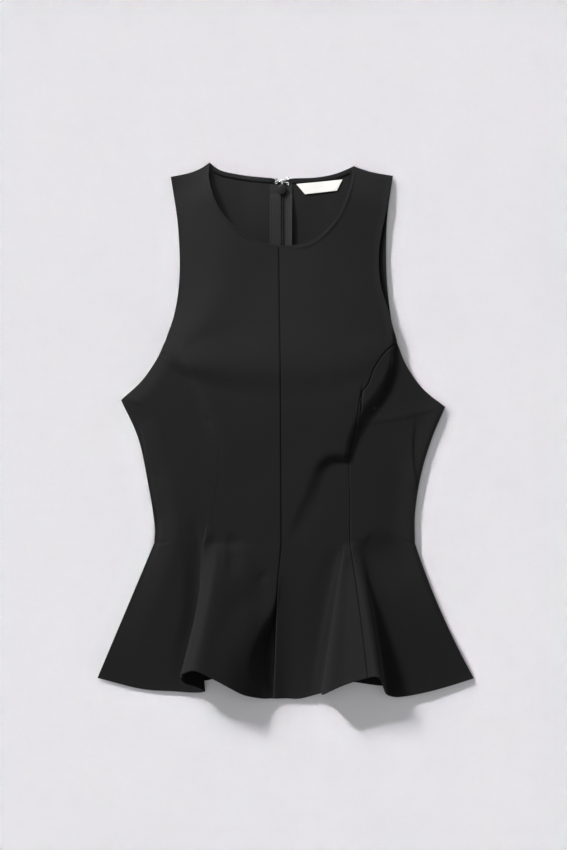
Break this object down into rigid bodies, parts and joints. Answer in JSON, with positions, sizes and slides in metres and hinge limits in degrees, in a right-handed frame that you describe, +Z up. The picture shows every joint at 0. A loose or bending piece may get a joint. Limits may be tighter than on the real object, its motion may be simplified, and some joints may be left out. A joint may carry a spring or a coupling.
{
  "type": "peplum top",
  "caption": "Sleeveless round-neck peplum top with princess seams and a concealed back zip, lying flat with its flared hem in soft flutes.",
  "frame": {"origin": "middle of the underside, where the back lies on the surface", "axes": "+Y from the hem to the neck, +Z up through the front, +X towards the right of the top as seen from above"},
  "size_m": [0.4228, 0.6022, 0.0493],
  "materials": {
    "crepe": "matt black stretch crepe with a faint sheen",
    "zip_tape": "black woven tape",
    "zip_coil": "black nylon coil",
    "zip_enamel": "black enamel",
    "nickel": "bright nickel-plated wire",
    "label_satin": "cream woven satin"
  },
  "bodies": {
    "garment": {"front_centre_left": "crepe", "front_centre_right": "crepe", "front_side_left": "crepe", "front_side_right": "crepe", "back_left": "crepe", "back_right": "crepe", "neck_binding_left": "crepe", "neck_binding_right": "crepe", "zip_tape_left": "zip_tape", "zip_tape_right": "zip_tape", "zip_coil_left": "zip_coil", "zip_coil_right": "zip_coil", "zip_slider": "zip_enamel", "hook": "nickel", "eye": "nickel", "label": "label_satin"},
    "zip_pull": {"zip_pull": "zip_enamel"}
  },
  "joints": [
    {"name": "zip_pull_swing", "type": "hinge", "parent": "garment", "child": "zip_pull", "pos_m": [-0.004, 0.2714, 0.00115], "axis": [1, 0, 0], "range_deg": [0, 170]}
  ]
}
